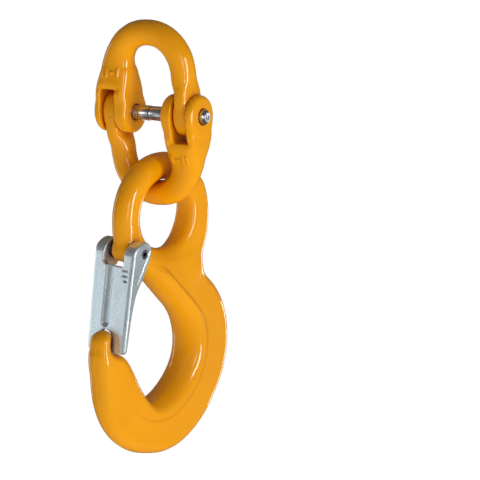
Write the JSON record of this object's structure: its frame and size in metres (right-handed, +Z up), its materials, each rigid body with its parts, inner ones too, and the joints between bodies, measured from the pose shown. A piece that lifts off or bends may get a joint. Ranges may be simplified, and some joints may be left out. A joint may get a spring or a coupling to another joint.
{
  "type": "eye hook with latch",
  "caption": "Forged eye hook with a sprung safety latch, hung in a chain connecting link whose halves turn on a locked cross pin.",
  "frame": {"origin": "bearing point inside the crown of the connecting link's upper half, where the chain's last link pulls", "axes": "+Z up along the load line, Y along the connecting link's cross pin (the fork of the upper half on +Y), X across the link; the hook's throat opens towards -X"},
  "size_m": [0.1135, 0.0736, 0.2641],
  "materials": {
    "paint": "glossy orange-yellow powder coat",
    "bright_steel": "bright ground steel",
    "zinc": "zinc plated, matt and finely speckled",
    "spring_steel": "dark spring steel"
  },
  "bodies": {
    "upper_half": {"link_upper_half": "paint"},
    "lower_half": {"link_lower_half": "paint"},
    "cross_pin": {"load_pin": "bright_steel", "locking_sleeve": "bright_steel"},
    "hook": {"hook_body": "paint", "latch_pin": "spring_steel"},
    "safety_latch": {"latch": "zinc", "latch_spring": "spring_steel"}
  },
  "joints": [
    {"name": "link_fold", "type": "hinge", "parent": "upper_half", "child": "lower_half", "pos_m": [0, 0, -0.04035], "axis": [0, 1, 0], "range_deg": [-90, 90]},
    {"name": "pin_spin", "type": "hinge", "parent": "upper_half", "child": "cross_pin", "pos_m": [0, 0, -0.04035], "axis": [0, 1, 0], "continuous": true},
    {"name": "hook_swing", "type": "hinge", "parent": "lower_half", "child": "hook", "pos_m": [0, 0, -0.0724], "axis": [0.9903, -0.1392, 0], "range_deg": [-60, 60]},
    {"name": "latch_open", "type": "hinge", "parent": "hook", "child": "safety_latch", "pos_m": [-0.03114, 0.00438, -0.11665], "axis": [-0.1392, -0.9903, 0], "range_deg": [0, 55], "stiffness_Nm_per_rad": 0.35, "springref_deg": -57.3, "deforming": ["latch_spring"]}
  ]
}
